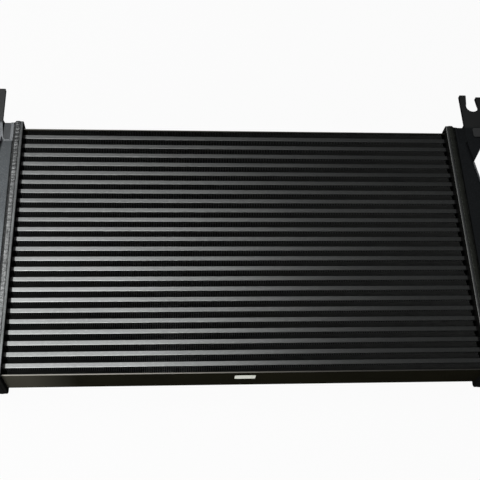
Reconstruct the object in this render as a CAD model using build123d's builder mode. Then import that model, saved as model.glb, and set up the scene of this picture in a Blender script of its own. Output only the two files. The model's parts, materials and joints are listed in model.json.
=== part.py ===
"""Charge-air cooler: a brazed core of flat tubes and folded fins between two cast end tanks.

It lies on its back. +X runs along the tubes, +Y across them towards the hook ears, and +Z out of the core's front
face. Lengths are millimetres. The origin is the middle of the bounding box's underside.
"""

import math
import os

from build123d import *

# --- core -----------------------------------------------------------------------------------------------------
CORE_LENGTH = 668.0  # between the two headers
CORE_DEPTH = 54.0
TUBE_COUNT = 24
TUBE_HEIGHT = 6.5
TUBE_NOSE_CHAMFER = 0.6
TUBE_SIDE_WALL = 0.8
TUBE_NOSE_WALL = 1.5
TUBE_CHANNELS = 3
TUBE_WEB = 1.0
TUBE_STICK_THROUGH = 2.0  # past the header's inner face

FIN_HEIGHT = 9.5
FIN_SETBACK = 1.0  # behind the tube noses, front and back
FIN_SHEET = 0.5
FIN_FOLDS = 34
FIN_END_GAP = 6.0  # from the header
BRAZE_GAP = 0.05

SIDE_PLATE_THICKNESS = 1.6

# --- headers, welds and tanks -----------------------------------------------------------------------------------
HEADER_OVERHANG_TOP = 10.6  # past the top side plate, at the ear end
HEADER_OVERHANG_BOTTOM = 7.0  # past the bottom side plate, at the hose end
HEADER_WALL = 3.0
HEADER_FLANGE = 8.5
HEADER_CORNER = 3.0
HEADER_BEND = 0.8
SLOT_CLEARANCE = 0.1  # each side of a tube

WELD_GAP = 2.0
WELD_LAP = 2.5  # over the header's flange
WELD_RUN = 4.0  # over the tank's rim
WELD_PROUD = 0.4  # of the header, at the flange's edge
WELD_TOE = 0.3  # thickness along its two edges

TANK_WALL = 4.0
TANK_RIM_STEP = 1.8  # of the rim, and of the ear end, below the header's outline
TANK_RIM_WIDTH = 8.0
TANK_SETBACK = 2.0  # of the body below the header's outline, front, back and hose end
TANK_REACH_TOP = 20.9  # from the rim's edge to the outer wall, at the ear end
TANK_REACH_BOTTOM = 82.1  # the same at the hose end
TANK_EDGE_RADIUS = 10.0
TANK_SLOPE_LENGTH = 34.0
TANK_SLOPE_DROP = 3.0
TANK_BOTTOM_ROUND = 14.0

# --- hook ear ---------------------------------------------------------------------------------------------------
EAR_THICKNESS = 6.0  # its face is flush with the tank's front
EAR_INSET = 21.8  # from the tank rim's edge
EAR_WIDTH = 37.0
EAR_RISE = 60.7  # above the header's end
EAR_FLARE = 4.0  # how far its root spreads inwards over the tank's slope
EAR_FLARE_RISE = 8.0
EAR_FLARE_BITE = 1.0  # of the flare's upper tip in the ear
EAR_GUSSET_DEPTH = 65.6  # from the header's end down to the gusset's tip
EAR_GUSSET_INSET = 5.5  # of that tip, from the ear's inner edge
EAR_GUSSET_START = 13.1  # from the header's end down to where the gusset starts
HOOK_RADIUS = 10.2
HOOK_THROAT = 15.1  # at the prongs' tips
HOOK_THROAT_ROOT = 19.6  # at the seat's centre
HOOK_DEPTH = 21.9  # from the inner prong's tip to the seat's centre
HOOK_INSET = 18.7  # from the ear's inner edge to the seat's centre
PRONG_STEP = 3.4  # the outer prong is this much shorter
PRONG_CHAMFER = 0.8
EAR_PAD_PROUD = 2.0
EAR_PAD_HEIGHT = 16.5
EAR_PAD_WIDTH = 22.0
EAR_PAD_INSET = 4.0  # from the ear's outer edge
EAR_PAD_DROP = 5.0  # from the header's end down to the pad
EAR_PAD_CHAMFER = 2.0

# --- hose neck --------------------------------------------------------------------------------------------------
NECK_RADIUS = 31.75
NECK_WALL = 3.5
NECK_SHOULDER = 1.25  # of tank in front of the neck and behind it
NECK_REACH = 46.0  # past the tank's outer wall, square to it
NECK_HEIGHT = 52.0  # above the tank's hose end, where its axis leaves the outer wall
HOSE_BEAD_PROUD = 1.5
HOSE_BEAD_WIDTH = 6.0
HOSE_BEAD_SETBACK = 6.0

# --- worked out -------------------------------------------------------------------------------------------------
TUBE_PITCH = TUBE_HEIGHT + FIN_HEIGHT
FIN_ROWS = TUBE_COUNT + 1
STACK_HEIGHT = TUBE_COUNT * TUBE_HEIGHT + FIN_ROWS * FIN_HEIGHT
PLATE_TO_PLATE = STACK_HEIGHT + 2 * SIDE_PLATE_THICKNESS
HEADER_LENGTH = PLATE_TO_PLATE + HEADER_OVERHANG_TOP + HEADER_OVERHANG_BOTTOM
TUBE_LENGTH = CORE_LENGTH + 2 * (HEADER_WALL + TUBE_STICK_THROUGH)

TANK_DEPTH = 2 * (NECK_RADIUS + NECK_SHOULDER)
HEADER_DEPTH = TANK_DEPTH + 2 * TANK_SETBACK

CORE_Y = (HEADER_OVERHANG_BOTTOM + WELD_PROUD - HEADER_OVERHANG_TOP - EAR_RISE) / 2
CORE_Z = HEADER_DEPTH / 2 + WELD_PROUD
FIRST_TUBE_Y = CORE_Y + (TUBE_COUNT - 1) * TUBE_PITCH / 2
EAR_END_Y = CORE_Y + PLATE_TO_PLATE / 2 + HEADER_OVERHANG_TOP
HOSE_END_Y = EAR_END_Y - HEADER_LENGTH
TANK_END_Y = EAR_END_Y - TANK_RIM_STEP
HEADER_Y = (EAR_END_Y + HOSE_END_Y) / 2

HEADER_X = CORE_LENGTH / 2
HEADER_EDGE_X = HEADER_X + HEADER_FLANGE
RIM_X = HEADER_EDGE_X + WELD_GAP
TANK_FRONT_Z = CORE_Z + TANK_DEPTH / 2
TANK_FLARE = math.atan2(TANK_REACH_BOTTOM - TANK_REACH_TOP, HEADER_LENGTH)

os.makedirs("parts", exist_ok=True)


def save(part, name):
    """Names a finished piece and writes its STEP file."""
    part.label = name
    export_step(part, f"parts/{name}.step")


def end_plane(x, y):
    """A plane square to the tubes, with its X along the stack and its Y out of the front face."""
    return Plane(origin=(x, y, CORE_Z), x_dir=(0, 1, 0), z_dir=(1, 0, 0))


def joint_outline(proud):
    """The cut-cornered outline that header, weld and tank rim share, stood off by the given amount."""
    cut = HEADER_CORNER + proud * (2 - math.sqrt(2))
    with BuildSketch(mode=Mode.PRIVATE) as outline:
        Rectangle(HEADER_LENGTH + 2 * proud, HEADER_DEPTH + 2 * proud)
        if cut > 0:
            chamfer(outline.vertices(), cut)
    add(outline.sketch)


def outer_wall_x(y):
    """The tank's flared outer wall, a straight line from the ear end to the hose end."""
    return RIM_X + TANK_REACH_TOP + (EAR_END_Y - y) * math.tan(TANK_FLARE)


# --- charge tubes -----------------------------------------------------------------------------------------------
CHANNEL_SPAN = CORE_DEPTH - 2 * TUBE_NOSE_WALL
CHANNEL_WIDTH = (CHANNEL_SPAN - (TUBE_CHANNELS - 1) * TUBE_WEB) / TUBE_CHANNELS

for number in range(TUBE_COUNT):
    with BuildPart() as charge_tube:
        with BuildSketch(end_plane(-TUBE_LENGTH / 2, FIRST_TUBE_Y - number * TUBE_PITCH)) as section:
            Rectangle(TUBE_HEIGHT, CORE_DEPTH)
            chamfer(section.vertices(), TUBE_NOSE_CHAMFER)
            with GridLocations(0, CHANNEL_WIDTH + TUBE_WEB, 1, TUBE_CHANNELS):
                Rectangle(TUBE_HEIGHT - 2 * TUBE_SIDE_WALL, CHANNEL_WIDTH, mode=Mode.SUBTRACT)
        extrude(amount=TUBE_LENGTH)
    save(charge_tube.part, f"charge_tube_{number + 1:02d}")

# --- fin rows ---------------------------------------------------------------------------------------------------
FIN_LENGTH = CORE_LENGTH - 2 * FIN_END_GAP
FIN_CREST = FIN_HEIGHT / 2 - BRAZE_GAP

for number in range(FIN_ROWS):
    row_y = FIRST_TUBE_Y + (0.5 - number) * TUBE_PITCH
    stations = [(-FIN_LENGTH / 2 + FIN_LENGTH * fold / FIN_FOLDS, fold % 2) for fold in range(FIN_FOLDS + 1)]
    upper = [(x, row_y + (FIN_CREST if high else FIN_SHEET - FIN_CREST)) for x, high in stations]
    lower = [(x, y - FIN_SHEET) for x, y in reversed(upper)]
    with BuildPart() as fin_row:
        with BuildSketch(Plane.XY.offset(CORE_Z - CORE_DEPTH / 2 + FIN_SETBACK)):
            with BuildLine():
                Polyline(*upper, *lower, close=True)
            make_face()
        extrude(amount=CORE_DEPTH - 2 * FIN_SETBACK)
    save(fin_row.part, f"fin_row_{number + 1:02d}")

# --- side plates ------------------------------------------------------------------------------------------------
PLATE_LENGTH = CORE_LENGTH - 2 * BRAZE_GAP

for name, side in (("top_side_plate", 1), ("bottom_side_plate", -1)):
    plate_y = CORE_Y + side * (STACK_HEIGHT + SIDE_PLATE_THICKNESS) / 2
    with BuildPart() as side_plate:
        with BuildSketch(end_plane(-PLATE_LENGTH / 2, plate_y)):
            Rectangle(SIDE_PLATE_THICKNESS, CORE_DEPTH)
        extrude(amount=PLATE_LENGTH)
    save(side_plate.part, name)

# --- headers ----------------------------------------------------------------------------------------------------
with BuildPart() as right_header:
    with BuildSketch(end_plane(HEADER_X, HEADER_Y)):
        joint_outline(0)
    extrude(amount=HEADER_FLANGE)
    chamfer(right_header.faces().sort_by(Axis.X)[0].edges(), HEADER_BEND)
    with BuildSketch(end_plane(HEADER_X + HEADER_WALL, HEADER_Y)):
        joint_outline(-HEADER_WALL)
    extrude(amount=HEADER_FLANGE, mode=Mode.SUBTRACT)
    with BuildSketch(end_plane(HEADER_X, CORE_Y)) as slots:
        with GridLocations(TUBE_PITCH, 0, TUBE_COUNT, 1):
            Rectangle(TUBE_HEIGHT + 2 * SLOT_CLEARANCE, CORE_DEPTH + 2 * SLOT_CLEARANCE)
        chamfer(slots.vertices(), TUBE_NOSE_CHAMFER)
    extrude(amount=HEADER_WALL, mode=Mode.SUBTRACT)
save(right_header.part, "right_header")

with BuildPart() as left_header:
    mirror(right_header.part, about=Plane.YZ)
save(left_header.part, "left_header")

# --- weld beads -------------------------------------------------------------------------------------------------
WELD_PROFILE = (
    (-WELD_LAP, WELD_TOE),
    (0, WELD_PROUD),
    (WELD_GAP, WELD_PROUD - TANK_RIM_STEP / 2),
    (WELD_GAP + WELD_RUN, WELD_TOE - TANK_RIM_STEP),
)

with BuildPart() as right_weld_bead:
    for offset, proud in WELD_PROFILE:
        with BuildSketch(end_plane(HEADER_EDGE_X + offset, HEADER_Y)):
            joint_outline(proud)
    loft(ruled=True)
    with BuildSketch(end_plane(HEADER_EDGE_X - WELD_LAP, HEADER_Y)):
        joint_outline(0)
    extrude(amount=WELD_LAP, mode=Mode.SUBTRACT)
    with BuildSketch(end_plane(HEADER_EDGE_X, HEADER_Y)):
        joint_outline(-HEADER_WALL)
    extrude(amount=WELD_GAP, mode=Mode.SUBTRACT)
    with BuildSketch(end_plane(RIM_X, HEADER_Y)):
        joint_outline(-TANK_RIM_STEP)
    extrude(amount=WELD_RUN, mode=Mode.SUBTRACT)
save(right_weld_bead.part, "right_weld_bead")

with BuildPart() as left_weld_bead:
    mirror(right_weld_bead.part, about=Plane.YZ)
save(left_weld_bead.part, "left_weld_bead")

# --- end tanks --------------------------------------------------------------------------------------------------
def tank_form(inset):
    """The tank's closed outer form or, inset by its wall, the hollow inside it."""
    ear_end = TANK_END_Y - inset
    hose_end = HOSE_END_Y + TANK_SETBACK + inset
    half_depth = TANK_DEPTH / 2 - inset
    wall_inset = inset / math.cos(TANK_FLARE)
    with BuildPart() as form:
        # flared plan with a rounded outer wall
        with BuildSketch(Plane.XY.offset(CORE_Z - half_depth)):
            with BuildLine():
                Polyline(
                    (RIM_X, ear_end),
                    (outer_wall_x(ear_end) - wall_inset, ear_end),
                    (outer_wall_x(hose_end) - wall_inset, hose_end),
                    (RIM_X, hose_end),
                    close=True,
                )
            make_face()
        extrude(amount=2 * half_depth)
        long_edges = form.faces().sort_by(Axis.X)[-1].edges().sort_by(SortBy.LENGTH)[-2:]
        fillet(long_edges, TANK_EDGE_RADIUS - inset)
        # side view: sloped towards the ear end, rounded at the hose end
        with BuildSketch(Plane.YZ.offset(RIM_X)) as side_view:
            with Locations((0, CORE_Z)):
                Polygon(
                    (ear_end, half_depth - TANK_SLOPE_DROP),
                    (EAR_END_Y - TANK_SLOPE_LENGTH, half_depth),
                    (hose_end, half_depth),
                    (hose_end, -half_depth),
                    (EAR_END_Y - TANK_SLOPE_LENGTH, -half_depth),
                    (ear_end, TANK_SLOPE_DROP - half_depth),
                    align=None,
                )
            fillet(side_view.vertices().group_by(Axis.X)[0], TANK_BOTTOM_ROUND - inset)
        extrude(amount=TANK_REACH_BOTTOM, mode=Mode.INTERSECT)
    return form.part


EAR_X = RIM_X + EAR_INSET
EAR_OUTER_X = EAR_X + EAR_WIDTH
EAR_TIP_Y = EAR_END_Y + EAR_RISE
EAR_BACK_Z = TANK_FRONT_Z - EAR_THICKNESS
HOOK_X = EAR_X + HOOK_INSET
HOOK_Y = EAR_TIP_Y - HOOK_DEPTH
EAR_OUTLINE = (
    (EAR_X, EAR_END_Y - TANK_SLOPE_LENGTH),
    (EAR_X, EAR_TIP_Y),
    (HOOK_X, EAR_TIP_Y),
    (HOOK_X, EAR_TIP_Y - PRONG_STEP),
    (EAR_OUTER_X, EAR_TIP_Y - PRONG_STEP),
    (EAR_OUTER_X, EAR_END_Y - EAR_GUSSET_START),
    (EAR_X + EAR_GUSSET_INSET, EAR_END_Y - EAR_GUSSET_DEPTH),
)
FLARE_SECTION = (
    (EAR_X - EAR_FLARE, EAR_BACK_Z),
    (HOOK_X, EAR_BACK_Z),
    (HOOK_X, TANK_FRONT_Z),
    (EAR_X, TANK_FRONT_Z),
)
FLARE_TIPS = (
    (EAR_X + EAR_FLARE_BITE, TANK_END_Y + EAR_FLARE_RISE, TANK_FRONT_Z - EAR_THICKNESS / 2),
    (EAR_X - EAR_FLARE, EAR_END_Y - TANK_SLOPE_LENGTH, TANK_FRONT_Z),
)

NECK_Y = HOSE_END_Y + NECK_HEIGHT
NECK_AXIS = Plane(
    origin=(outer_wall_x(NECK_Y), NECK_Y, CORE_Z),
    x_dir=(-math.sin(TANK_FLARE), math.cos(TANK_FLARE), 0),
    z_dir=(math.cos(TANK_FLARE), math.sin(TANK_FLARE), 0),
)

with BuildPart() as right_tank:
    with BuildSketch(end_plane(RIM_X, HEADER_Y)):
        joint_outline(-TANK_RIM_STEP)
    extrude(amount=TANK_RIM_WIDTH)
    add(tank_form(0))
    # hook ear, flush with the front face
    with BuildSketch(Plane.XY.offset(EAR_BACK_Z)) as ear:
        with BuildLine():
            Polyline(*EAR_OUTLINE, close=True)
        make_face()
        with Locations((HOOK_X, HOOK_Y)):
            Circle(HOOK_RADIUS, mode=Mode.SUBTRACT)
            Polygon(
                (-HOOK_THROAT_ROOT / 2, 0),
                (HOOK_THROAT_ROOT / 2, 0),
                (HOOK_THROAT / 2, HOOK_DEPTH),
                (-HOOK_THROAT / 2, HOOK_DEPTH),
                align=None,
                mode=Mode.SUBTRACT,
            )
        prong_ends = ear.vertices().group_by(Axis.Y)
        chamfer(prong_ends[-1] + prong_ends[-2], PRONG_CHAMFER)
    extrude(amount=EAR_THICKNESS)
    # its root spreads to a point up the ear and to another down the slope
    with BuildSketch(Plane.XZ.offset(-TANK_END_Y), mode=Mode.PRIVATE) as ear_root:
        Polygon(*FLARE_SECTION, align=None)
    for tip in FLARE_TIPS:
        loft([ear_root.sketch, Vertex(*tip)], ruled=True)
    with BuildSketch(Plane.XY.offset(TANK_FRONT_Z)) as pad:
        with Locations((EAR_OUTER_X - EAR_PAD_INSET, EAR_END_Y - EAR_PAD_DROP)):
            Rectangle(EAR_PAD_WIDTH, EAR_PAD_HEIGHT, align=(Align.MAX, Align.MAX))
        chamfer(pad.vertices(), EAR_PAD_CHAMFER)
    extrude(amount=EAR_PAD_PROUD)
    # hose neck with its bead
    with BuildSketch(NECK_AXIS.offset(-TANK_EDGE_RADIUS)):
        Circle(NECK_RADIUS)
    extrude(amount=TANK_EDGE_RADIUS + NECK_REACH)
    with BuildSketch(NECK_AXIS.offset(NECK_REACH - HOSE_BEAD_SETBACK - HOSE_BEAD_WIDTH)):
        Circle(NECK_RADIUS + HOSE_BEAD_PROUD)
    extrude(amount=HOSE_BEAD_WIDTH)
    # one hollow from the rim to the neck's mouth
    with BuildSketch(end_plane(RIM_X, HEADER_Y)):
        joint_outline(-TANK_SETBACK - TANK_WALL)
    extrude(amount=TANK_RIM_WIDTH, mode=Mode.SUBTRACT)
    add(tank_form(TANK_WALL), mode=Mode.SUBTRACT)
    with BuildSketch(NECK_AXIS.offset(-TANK_EDGE_RADIUS)):
        Circle(NECK_RADIUS - NECK_WALL)
    extrude(amount=TANK_EDGE_RADIUS + NECK_REACH, mode=Mode.SUBTRACT)
save(right_tank.part, "right_tank")

with BuildPart() as left_tank:
    mirror(right_tank.part, about=Plane.YZ)
save(left_tank.part, "left_tank")
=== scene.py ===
"""Dresses the charge-air cooler: fine air fins, rippled weld beads, a blank label and its aluminium finishes."""

import json
import math
from dataclasses import dataclass

import bpy
import numpy as np
from mathutils import Matrix, Vector


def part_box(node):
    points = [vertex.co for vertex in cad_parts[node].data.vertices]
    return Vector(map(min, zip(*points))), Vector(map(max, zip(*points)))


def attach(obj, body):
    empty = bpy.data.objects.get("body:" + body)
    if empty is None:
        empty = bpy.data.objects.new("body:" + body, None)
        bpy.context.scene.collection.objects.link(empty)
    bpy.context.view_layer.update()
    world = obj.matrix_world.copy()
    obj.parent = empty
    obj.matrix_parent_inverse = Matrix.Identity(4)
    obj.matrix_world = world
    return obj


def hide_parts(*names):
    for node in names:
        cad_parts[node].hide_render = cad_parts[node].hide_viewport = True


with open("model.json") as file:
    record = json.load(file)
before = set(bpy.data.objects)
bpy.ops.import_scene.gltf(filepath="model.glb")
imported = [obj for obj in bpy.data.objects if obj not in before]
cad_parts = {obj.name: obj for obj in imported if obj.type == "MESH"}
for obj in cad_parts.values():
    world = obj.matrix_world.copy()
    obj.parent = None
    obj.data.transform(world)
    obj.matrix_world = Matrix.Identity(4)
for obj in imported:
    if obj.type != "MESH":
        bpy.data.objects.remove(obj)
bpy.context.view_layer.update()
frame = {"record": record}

MM = 0.001


# --- meshes -----------------------------------------------------------------------------------------------------
def mesh_object(name, points, faces, material, smooth=True):
    """A new mesh object at the origin, from an array of points in metres and a list of faces by point number."""
    mesh = bpy.data.meshes.new(name)
    mesh.from_pydata([tuple(p) for p in points.tolist()], [], faces)
    mesh.materials.append(material)
    mesh.polygons.foreach_set("use_smooth", np.full(len(mesh.polygons), smooth))
    mesh.update()
    piece = bpy.data.objects.new(name, mesh)
    bpy.context.scene.collection.objects.link(piece)
    return piece


def grid_faces(rows, columns, wrap_rows=False, wrap_columns=False):
    """Quads between neighbouring points of a grid, whose point (i, j) has the number i * columns + j.

    Wrapping joins the last row or column to the first.
    """
    i = np.arange(rows if wrap_rows else rows - 1)[:, None]
    j = np.arange(columns if wrap_columns else columns - 1)[None, :]
    below, right = (i + 1) % rows, (j + 1) % columns
    corners = (i * columns + j, i * columns + right, below * columns + right, below * columns + j)
    return np.stack([np.broadcast_to(c, (i.size, j.size)).ravel() for c in corners], axis=1)


# --- shader nodes -----------------------------------------------------------------------------------------------
MIX_SOCKETS = {"FLOAT": (2, 3, 0), "RGBA": (6, 7, 2)}  # a Mix node's inputs A and B and its output, by number


def node(tree, kind, **settings):
    """A new node with its properties and, by socket name or number, its input values set."""
    made = tree.nodes.new(kind)
    for key, value in settings.pop("values", {}).items():
        made.inputs[key].default_value = value
    for key, value in settings.items():
        setattr(made, key, value)
    return made


def put(tree, socket, value):
    """A number or colour in a socket, or a link to it."""
    if isinstance(value, bpy.types.NodeSocket):
        tree.links.new(value, socket)
    else:
        socket.default_value = (*value, 1.0) if isinstance(value, tuple) else value


def mixed(tree, kind, factor, a, b):
    """Value a where the factor is 0 and value b where it is 1; the kind is FLOAT or RGBA."""
    made = node(tree, "ShaderNodeMix", data_type=kind)
    first, second, result = MIX_SOCKETS[kind]
    tree.links.new(factor, made.inputs["Factor"])
    put(tree, made.inputs[first], a)
    put(tree, made.inputs[second], b)
    return made.outputs[result]


def ramp(tree, source, start, end):
    """0 up to start, 1 from end on and even between them, from a socket."""
    made = node(tree, "ShaderNodeValToRGB")
    for element, position, grey in zip(made.color_ramp.elements, (start, end), (0.0, 1.0)):
        element.position = position
        element.color = (grey, grey, grey, 1.0)
    tree.links.new(source, made.inputs["Fac"])
    return made.outputs["Color"]


def noise(tree, place, stretch, **values):
    """Fractal noise on a place that is stretched per axis."""
    mapping = node(tree, "ShaderNodeMapping")
    mapping.inputs["Scale"].default_value = stretch
    tree.links.new(place, mapping.inputs["Vector"])
    made = node(tree, "ShaderNodeTexNoise", values=values)
    tree.links.new(mapping.outputs["Vector"], made.inputs["Vector"])
    return made.outputs["Fac"]


def even_step(tree, source, axis, start, end, mirrored=False):
    """0 up to start along an axis of a vector, 1 from end on and even between them; mirrored drops the sign first."""
    parts = node(tree, "ShaderNodeSeparateXYZ")
    tree.links.new(source, parts.inputs["Vector"])
    value = parts.outputs[axis]
    if mirrored:
        size = node(tree, "ShaderNodeMath", operation="ABSOLUTE")
        tree.links.new(value, size.inputs[0])
        value = size.outputs["Value"]
    made = node(tree, "ShaderNodeMapRange", values={"From Min": start, "From Max": end})
    tree.links.new(value, made.inputs["Value"])
    return made.outputs["Result"]


# --- finishes ---------------------------------------------------------------------------------------------------
STAIN_EDGES = (0.35, 0.68)  # where the stains' noise turns from dark to base
CREST_EDGES = (0.48, 0.72)  # where the grain's noise turns to light
MIDDLE_BLEND = 1 * MM  # from the middle plane to where a one-sided patch is full


@dataclass
class Patch:
    """Part of a surface with a finish of its own, which sets in from start to end along an axis.

    The axis is one of the place ("Object") or of the normal ("Normal"). A mirrored patch lies on both halves of the
    cooler, and side keeps it to the left half (-1) or the right half (1).
    """

    vector: str
    axis: str
    start: float
    end: float
    colour: tuple
    metallic: float
    rough: float
    mirrored: bool = True
    side: int = 0


def shaded_flanks(colour):
    """Painted shade on the faces that look sideways: a dull, dark, non-metal finish."""
    return Patch("Normal", "Z", 0.85, 0.55, colour, metallic=0.0, rough=0.75)


def aluminium(name, base, dark, light, metallic, rough, mottle, grain, bump_mm,
              stretch=(1, 1, 1), gloss_level=0.5, patches=()):
    """Aluminium with soft stains, fine grain and uneven gloss.

    base, dark and light are colours: dark lies in the stains and light on the grain's crests. rough is the range of
    roughness, mottle and grain are the scales of the stains and the grain, and bump_mm is the grain's height.
    """
    material = bpy.data.materials.new(name)
    material.use_nodes = True
    tree = material.node_tree
    shader = tree.nodes["Principled BSDF"]
    surface = node(tree, "ShaderNodeTexCoord")
    place = surface.outputs["Object"]
    stains = ramp(tree, noise(tree, place, stretch, Scale=mottle, Detail=5.0, Roughness=0.55), *STAIN_EDGES)
    grains = noise(tree, place, stretch, Scale=grain, Detail=3.0, Roughness=0.6)
    crests = ramp(tree, grains, *CREST_EDGES)
    tone = mixed(tree, "RGBA", crests, mixed(tree, "RGBA", stains, dark, base), light)
    roughness = mixed(tree, "FLOAT", stains, rough[1], rough[0])
    for patch in patches:
        mask = even_step(tree, surface.outputs[patch.vector], patch.axis, patch.start, patch.end, patch.mirrored)
        if patch.side:
            mask = mixed(tree, "FLOAT", mask, 0.0, even_step(tree, place, "X", 0.0, patch.side * MIDDLE_BLEND))
        tone = mixed(tree, "RGBA", mask, tone, patch.colour)
        metallic = mixed(tree, "FLOAT", mask, metallic, patch.metallic)
        roughness = mixed(tree, "FLOAT", mask, roughness, patch.rough)
    tree.links.new(tone, shader.inputs["Base Color"])
    put(tree, shader.inputs["Metallic"], metallic)
    put(tree, shader.inputs["Roughness"], roughness)
    shader.inputs["Specular IOR Level"].default_value = gloss_level
    bump = node(tree, "ShaderNodeBump", values={"Strength": 1.0, "Distance": bump_mm * MM})
    tree.links.new(grains, bump.inputs["Height"])
    tree.links.new(bump.outputs["Normal"], shader.inputs["Normal"])
    return material


# On the tubes: painted shadow of the headers on the tubes' ends beside them.
TUBE_END_SHADE = Patch("Object", "X", 329.5 * MM, 330.5 * MM, (0.03, 0.03, 0.03), metallic=0.9, rough=0.5)

# On the side plates: painted light on the left end, which is paler, and the edge at the core's front.
LIT_LEFT_PLATE_END = Patch("Object", "X", -235 * MM, -300 * MM, (0.05, 0.0473, 0.0373), metallic=0.0, rough=0.7, mirrored=False)
# Painted light: the plates' faces that look forward are bright metal, their other faces dull and dark.
PLATE_FRONT = Patch("Normal", "Z", 0.55, 0.85, (0.30, 0.29, 0.26), metallic=1.0, rough=0.38)

# On the headers: a painted highlight on the bend along the right one's inner edge.
HIGHLIT_RIGHT_BEND = Patch("Object", "X", 337.2 * MM, 336.6 * MM, (0.55, 0.565, 0.55), metallic=1.0, rough=0.38, side=1)

# On the tanks: painted shade beside the weld, painted light on the left one's slope, painted shade on the hook ears,
# and the ears' milled pads.
SHADE_BESIDE_WELD = Patch("Object", "X", 349.8 * MM, 349.0 * MM, (0.03, 0.032, 0.032), metallic=0.9, rough=0.45)
# Painted light: the left tank's slope is made lighter.
LIT_LEFT_SLOPE = Patch("Object", "Y", 139.0 * MM, 143.0 * MM, (0.42, 0.44, 0.455), metallic=0.95, rough=0.34,
                   mirrored=False, side=-1)
# Painted shade: the hook ears are made darker.
SHADED_EARS = Patch("Object", "Y", 172.0 * MM, 176.0 * MM, (0.115, 0.117, 0.117), metallic=0.75, rough=0.42,
                 mirrored=False)
MILLED_PAD = Patch("Object", "Z", 69.4 * MM, 69.6 * MM, (0.62, 0.63, 0.63), metallic=1.0, rough=0.36)

# On the weld beads: painted shade over the whole right one, which is darker than the left one.
SHADED_RIGHT_BEAD = Patch("Object", "X", 300.0 * MM, 301.0 * MM, (0.07, 0.075, 0.065), metallic=0.7, rough=0.42, side=1)

FINISHES = {
    "charge_tubes": aluminium(
        "tube_braze", base=(0.36, 0.37, 0.365), dark=(0.28, 0.29, 0.285), light=(0.42, 0.43, 0.425),
        metallic=1.0, rough=(0.32, 0.40), mottle=14.0, grain=900.0, bump_mm=0.02, stretch=(0.25, 1, 1),
        patches=[TUBE_END_SHADE]),
    # The fins' near-black tone is painted shade in the gaps between the tubes.
    "air_fins": aluminium(
        "fin_strip", base=(0.042, 0.044, 0.042), dark=(0.026, 0.027, 0.026), light=(0.066, 0.068, 0.066),
        metallic=0.5, rough=(0.42, 0.55), mottle=30.0, grain=1200.0, bump_mm=0.01),
    # The plates' dull, dark, non-metal base is painted shade; only their faces that look forward are bright metal.
    "side_plates": aluminium(
        "plate_braze", base=(0.011, 0.0103, 0.0063), dark=(0.0075, 0.007, 0.0047), light=(0.016, 0.0155, 0.01),
        metallic=0.0, rough=(0.6, 0.7), mottle=12.0, grain=700.0, bump_mm=0.02, gloss_level=0.0,
        patches=[LIT_LEFT_PLATE_END, PLATE_FRONT]),
    "headers": aluminium(
        "header_sheet", base=(0.22, 0.23, 0.23), dark=(0.16, 0.167, 0.167), light=(0.28, 0.29, 0.29),
        metallic=0.95, rough=(0.34, 0.44), mottle=25.0, grain=800.0, bump_mm=0.03, gloss_level=0.0,
        patches=[HIGHLIT_RIGHT_BEND, shaded_flanks((0.0095, 0.0095, 0.009))]),
    "cast_tanks": aluminium(
        "tank_casting", base=(0.17, 0.185, 0.195), dark=(0.12, 0.13, 0.137), light=(0.21, 0.225, 0.235),
        metallic=0.95, rough=(0.28, 0.36), mottle=18.0, grain=650.0, bump_mm=0.12, gloss_level=0.0,
        patches=[SHADE_BESIDE_WELD, LIT_LEFT_SLOPE, SHADED_EARS, MILLED_PAD, shaded_flanks((0.016, 0.0167, 0.0175))]),
    "weld_beads": aluminium(
        "weld_metal", base=(0.27, 0.278, 0.278), dark=(0.13, 0.135, 0.135), light=(0.46, 0.47, 0.47),
        metallic=0.9, rough=(0.26, 0.38), mottle=200.0, grain=700.0, bump_mm=0.05, gloss_level=0.0,
        patches=[SHADED_RIGHT_BEAD, shaded_flanks((0.0095, 0.0095, 0.009))]),
}
CAD_SLOTS = {row["node"]: row["material_slot"] for row in frame["record"]["subparts"]}


# --- fin rows ---------------------------------------------------------------------------------------------------
FOLD_PITCH = 2.5 * MM
FIN_SHEET = 0.16 * MM
SAMPLES_PER_FOLD = 8
CREST_SHARPNESS = 2.2


def fin_strip(name):
    """A folded strip in its CAD row's box.

    Along x its height is a sine wave put through tanh, which steepens its webs and rounds its crests; the sheet's two
    faces stand half its thickness along the wave's own normal, and the strip runs straight from back to front.
    """
    low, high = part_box(name)
    folds = round((high[0] - low[0]) / FOLD_PITCH)
    x = np.linspace(low[0], high[0], folds * SAMPLES_PER_FOLD + 1)
    phase = 2 * np.pi * folds * (x - low[0]) / (high[0] - low[0])
    crest = (high[1] - low[1] - FIN_SHEET) / 2
    y = (low[1] + high[1]) / 2 + crest * np.tanh(CREST_SHARPNESS * np.sin(phase)) / np.tanh(CREST_SHARPNESS)
    slope = np.stack([np.gradient(x), np.gradient(y)], axis=1)
    normal = np.stack([-slope[:, 1], slope[:, 0]], axis=1) / np.linalg.norm(slope, axis=1)[:, None]
    line = np.stack([x, y], axis=1)
    section = ((1, low[2]), (1, high[2]), (-1, high[2]), (-1, low[2]))  # side of the sheet and depth, round its rim
    rim = [np.column_stack([line + side * normal * FIN_SHEET / 2, np.full(len(x), z)]) for side, z in section]
    faces = grid_faces(len(rim), len(x), wrap_rows=True)
    cut_ends = ((0, (0, 1, 2, 3)), (len(x) - 1, (3, 2, 1, 0)))
    ends = np.array([[row * len(x) + column for row in order] for column, order in cut_ends])
    return mesh_object(name + "_folds", np.concatenate(rim), [*faces.tolist(), *ends.tolist()], FINISHES["air_fins"])


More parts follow.
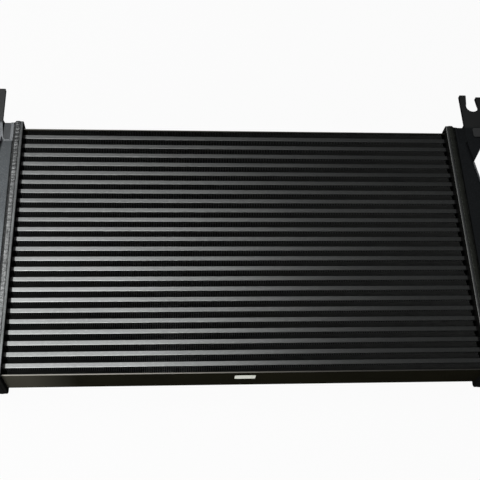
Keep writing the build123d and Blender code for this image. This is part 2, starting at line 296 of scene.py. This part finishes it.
# --- weld beads -------------------------------------------------------------------------------------------------
JOINT_CORNER = 4.5 * MM
RIM_STEP = 1.8 * MM  # of the tank's rim below the header
FALL_START = 0.4 * MM  # outward of the bead's middle
FALL_WIDTH = 2.3 * MM
BEAD_LAP = 2.4 * MM  # more of it on the header than its solid has
BEAD_BITE = 0.4 * MM  # how far its underside lies in the joint
BEAD_LIFT = 0.02 * MM  # of its toes above the joint
BEAD_PROUD = 1.0 * MM  # the hump's height at most
UNDERSIDE_SAVING = 0.68  # share of it that is ground off where the cooler lies on it
TOE_TUCK = 0.9  # the underside's width by the bead's
CROWN_POWER = 0.45  # below 1 it makes the hump's top broad

RIPPLE_PITCH = 7.0 * MM
SAMPLES_PER_RIPPLE = 12
BEAD_SECTION = 17  # points from toe to toe
CHEVRON = 0.4  # how far a pool's sides lie on from its middle, by its length
POOL_POWER = 0.7  # below 1 it makes a pool steep at its start and long at its end
WAVE_COUNTS = (11, 23, 41, 67, 97, 131)  # whole sine waves round the ring, the slowest first
JITTER = 0.4  # how far the waves shift a pool at most, by its length
WIDTH_MIX = (0.86, 0.10, 0.04)  # the steady share of the width, that of the waves and that of the pools
HEIGHT_MIX = (0.45, 0.25, 0.3)  # the same of the height


def rounded_loop(count, half_y, half_z, radius):
    """Evenly spaced points and outward normals round a rounded rectangle, from the middle of its far side.

    The loop is four straight runs and four quarter arcs, laid end to end by length.
    """
    run_y, run_z, arc = half_y - radius, half_z - radius, math.pi / 2 * radius
    lengths = [run_y, arc, 2 * run_z, arc, 2 * run_y, arc, 2 * run_z, arc, run_y]
    ends = np.cumsum([0] + lengths)
    s = np.linspace(0, ends[-1], count, endpoint=False)
    span = np.clip(np.searchsorted(ends, s, side="right") - 1, 0, len(lengths) - 1)
    along = s - ends[span]
    turned = (span + 1) // 2  # quarter turns begun or done
    turn = np.where(span % 2 == 1, (turned - 1) * math.pi / 2 + along / radius, turned * math.pi / 2)
    normal = np.stack([np.sin(turn), np.cos(turn)], axis=1)
    tangent = np.stack([np.cos(turn), -np.sin(turn)], axis=1)
    corner_y = np.array([0, 1, 1, 1, 1, -1, -1, -1, -1]) * run_y
    corner_z = np.array([1, 1, 1, -1, -1, -1, -1, 1, 1]) * run_z
    straight = np.where(span % 2 == 0, along, 0)[:, None] * tangent
    return s, ends[-1], np.stack([corner_y, corner_z], axis=1)[span] + radius * normal + straight, normal


def weld_ring(name, header, seed):
    """A fillet of overlapping weld pools, from the header's edge down to the lower rim of the tank.

    Its section is level over the header and then falls straight to the rim; on it stands a hump, a power of half a
    cosine wave. Along the path the hump is a row of pools, each half a sine wave that is steep at its start and long
    at its end, bent into chevrons. Its width and height wander by a few sine waves.
    """
    low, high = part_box(name)
    head_low, head_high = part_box(header)
    outward = 1 if low[0] > 0 else -1
    half_y, half_z = (head_high[1] - head_low[1]) / 2, (head_high[2] - head_low[2]) / 2
    middle = np.array([(low[0] + high[0]) / 2, (head_low[1] + head_high[1]) / 2, (head_low[2] + head_high[2]) / 2])
    count = round(4 * (half_y + half_z) / RIPPLE_PITCH) * SAMPLES_PER_RIPPLE
    s, total, path, normal = rounded_loop(count, half_y, half_z, JOINT_CORNER)

    random = np.random.default_rng(seed)
    waves = [(k, random.uniform(0, 2 * np.pi)) for k in WAVE_COUNTS]
    wave = [np.sin(2 * np.pi * k * s / total + p)[:, None] for k, p in waves]
    wander, edge, jitter = sum(wave[:3]) / 3, sum(wave[2:5]) / 3, JITTER * sum(wave[3:]) / 3
    across = np.linspace(-1, 1, BEAD_SECTION)[None, :]
    pool = (round(total / RIPPLE_PITCH) * s[:, None] / total + jitter - CHEVRON * across**2) % 1.0
    swell = np.sin(np.pi * pool**POOL_POWER)
    crown = np.cos(across * np.pi / 2) ** CROWN_POWER

    half_width = (high[0] - low[0]) / 2 * (WIDTH_MIX[0] + WIDTH_MIX[1] * edge + WIDTH_MIX[2] * swell)
    spread = across * half_width - BEAD_LAP * (1 - across) / 2
    fall = -RIM_STEP * np.clip((spread - FALL_START) / FALL_WIDTH, 0, 1)
    proud = BEAD_PROUD * (1 - UNDERSIDE_SAVING * np.clip(-normal[:, 1:], 0, 1))
    height = fall + proud * crown * (HEIGHT_MIX[0] + HEIGHT_MIX[1] * wander + HEIGHT_MIX[2] * swell) + BEAD_LIFT
    toes = TOE_TUCK * spread[:, [-1, 0]]
    bite = np.tile([-RIM_STEP - BEAD_BITE, -BEAD_BITE], (count, 1))
    lift = np.concatenate([height, bite], axis=1)
    spread = outward * np.concatenate([spread, toes], axis=1)

    points = np.empty((count, BEAD_SECTION + 2, 3))
    points[:, :, 0] = middle[0] + spread
    points[:, :, 1] = middle[1] + path[:, None, 0] + lift * normal[:, None, 0]
    points[:, :, 2] = middle[2] + path[:, None, 1] + lift * normal[:, None, 1]
    faces = grid_faces(count, BEAD_SECTION + 2, wrap_rows=True, wrap_columns=True)
    if outward < 0:
        faces = faces[:, ::-1]
    return mesh_object(name + "_rippled", points.reshape(-1, 3), faces.tolist(), FINISHES["weld_beads"])


# --- blank label ------------------------------------------------------------------------------------------------
LABEL_SIZE = (29 * MM, 14.5 * MM)
LABEL_MIDDLE_X = -4.4 * MM
LABEL_SETBACK = 18.5 * MM  # of its middle behind the core's front face
LABEL_THICKNESS = 0.12 * MM
LABEL_POINTS = 64  # round its edge
LABEL_POWER = 0.16  # 1 gives an ellipse and 0 a rectangle


def blank_label():
    """A rounded pale rectangle of foil on the bottom side plate's outer face.

    Its edge is a superellipse: a circle's cosine and sine, each to a power with its sign kept, times half its size.
    """
    low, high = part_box("bottom_side_plate")
    turn = np.linspace(0, 2 * np.pi, LABEL_POINTS, endpoint=False)
    circle = np.stack([np.cos(turn), np.sin(turn)])
    edge = np.sign(circle) * np.abs(circle) ** LABEL_POWER
    x = LABEL_MIDDLE_X + LABEL_SIZE[0] / 2 * edge[0]
    z = high[2] - LABEL_SETBACK + LABEL_SIZE[1] / 2 * edge[1]
    back, front = (np.column_stack([x, np.full(LABEL_POINTS, y), z]) for y in (low[1], low[1] - LABEL_THICKNESS))
    back_face, front_face = list(range(LABEL_POINTS))[::-1], list(range(LABEL_POINTS, 2 * LABEL_POINTS))
    faces = [*grid_faces(2, LABEL_POINTS, wrap_columns=True).tolist(), back_face, front_face]
    foil = aluminium(
        "label_foil", base=(0.8, 0.81, 0.72), dark=(0.72, 0.73, 0.65), light=(0.85, 0.86, 0.77),
        metallic=0.0, rough=(0.4, 0.55), mottle=90.0, grain=1500.0, bump_mm=0.01)
    return mesh_object("blank_label", np.concatenate([back, front]), faces, foil, smooth=False)


# --- build ------------------------------------------------------------------------------------------------------
for name, slot in CAD_SLOTS.items():
    solid = bpy.data.objects[name]
    solid.data.materials.clear()
    solid.data.materials.append(FINISHES[slot])

for name in [n for n, slot in CAD_SLOTS.items() if slot == "air_fins"]:
    strip = fin_strip(name)
    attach(strip, "root")
    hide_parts(name)

for seed, side in enumerate(("left", "right")):
    name = side + "_weld_bead"
    ring = weld_ring(name, side + "_header", seed)
    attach(ring, "root")
    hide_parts(name)

label = blank_label()
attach(label, "root")


# --- stage, camera and light ------------------------------------------------------------------------------------
FLOOR_REACH = 60.0  # metres from its middle to each edge
FLOOR_GREY = 0.9
FLOOR_ROUGHNESS = 0.9
FLOOR_WHITE_SHARE = 0.95  # of plain white in what the camera and glossy rays see of it

CAMERA_X = -0.110  # metres
CAMERA_BACK = 0.744  # metres from the first tube's middle towards the hose end
CAMERA_ABOVE = 1.125  # metres above the first tube's front
CAMERA_LENS = 64.05  # millimetres
CAMERA_SENSOR = 36.0  # millimetres

SURROUND_COLOUR = (0.9, 0.92, 0.95)
SURROUND_STRENGTH = 0.02


def pale_floor():
    """A wide pale floor that looks white to the camera and in gloss and still takes the shadow."""
    material = bpy.data.materials.new("pale_floor")
    material.use_nodes = True
    tree = material.node_tree
    shader = tree.nodes["Principled BSDF"]
    shader.inputs["Base Color"].default_value = (FLOOR_GREY, FLOOR_GREY, FLOOR_GREY, 1)
    shader.inputs["Roughness"].default_value = FLOOR_ROUGHNESS
    white = node(tree, "ShaderNodeEmission")
    seen = node(tree, "ShaderNodeLightPath")
    sight = seen.outputs["Is Camera Ray"]
    for ray in ("Is Glossy Ray", "Is Transmission Ray"):
        more = node(tree, "ShaderNodeMath", operation="MAXIMUM")
        tree.links.new(sight, more.inputs[0])
        tree.links.new(seen.outputs[ray], more.inputs[1])
        sight = more.outputs[0]
    share = node(tree, "ShaderNodeMath", operation="MULTIPLY", values={1: FLOOR_WHITE_SHARE})
    tree.links.new(sight, share.inputs[0])
    blend = node(tree, "ShaderNodeMixShader")
    tree.links.new(share.outputs[0], blend.inputs["Fac"])
    tree.links.new(shader.outputs["BSDF"], blend.inputs[1])
    tree.links.new(white.outputs["Emission"], blend.inputs[2])
    tree.links.new(blend.outputs["Shader"], tree.nodes["Material Output"].inputs["Surface"])
    corners = FLOOR_REACH * np.array([(-1, -1, 0), (1, -1, 0), (1, 1, 0), (-1, 1, 0)])
    floor = mesh_object("floor", corners, [[0, 1, 2, 3]], material, smooth=False)


def camera():
    """The camera looks down on the front face from the hose end, a little from the left."""
    across = Vector((0.99656, -0.03703, 0.07415))
    up = Vector((-0.00024, 0.89340, 0.44926))
    ahead = Vector((0.08288, 0.44773, -0.89032))
    turn = Matrix((across, up, -ahead)).transposed()
    eye = bpy.data.objects.new("camera", bpy.data.cameras.new("camera"))
    low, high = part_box("charge_tube_01")
    place = (CAMERA_X, (low[1] + high[1]) / 2 - CAMERA_BACK, high[2] + CAMERA_ABOVE)
    eye.matrix_world = Matrix.Translation(place) @ turn.to_4x4()
    eye.data.sensor_width = CAMERA_SENSOR
    eye.data.lens = CAMERA_LENS
    bpy.context.scene.collection.objects.link(eye)
    bpy.context.scene.camera = eye


def soft_light(name, place, aim, size, watts):
    """A square area lamp that faces a point."""
    lamp = bpy.data.objects.new(name, bpy.data.lights.new(name, "AREA"))
    lamp.data.size = size
    lamp.data.energy = watts
    lamp.location = place
    lamp.rotation_mode = "QUATERNION"
    lamp.rotation_quaternion = (Vector(aim) - Vector(place)).to_track_quat("-Z", "Y")
    bpy.context.scene.collection.objects.link(lamp)


def dim_surround():
    """A faint even world, which keeps the shadows from going black."""
    world = bpy.data.worlds.new("studio")
    bpy.context.scene.world = world
    world.use_nodes = True
    background = world.node_tree.nodes["Background"]
    background.inputs["Color"].default_value = (*SURROUND_COLOUR, 1)
    background.inputs["Strength"].default_value = SURROUND_STRENGTH


pale_floor()
camera()
soft_light("left_softbox", place=(-0.67, 0.1, 1.35), aim=(-0.15, 0.0, 0.0), size=1.4, watts=10.3)
soft_light("hose_end_fill", place=(-0.6, -1.3, 0.3), aim=(-0.1, -0.2, 0.03), size=1.0, watts=12)
dim_surround()
bpy.context.scene.view_settings.view_transform = "Standard"
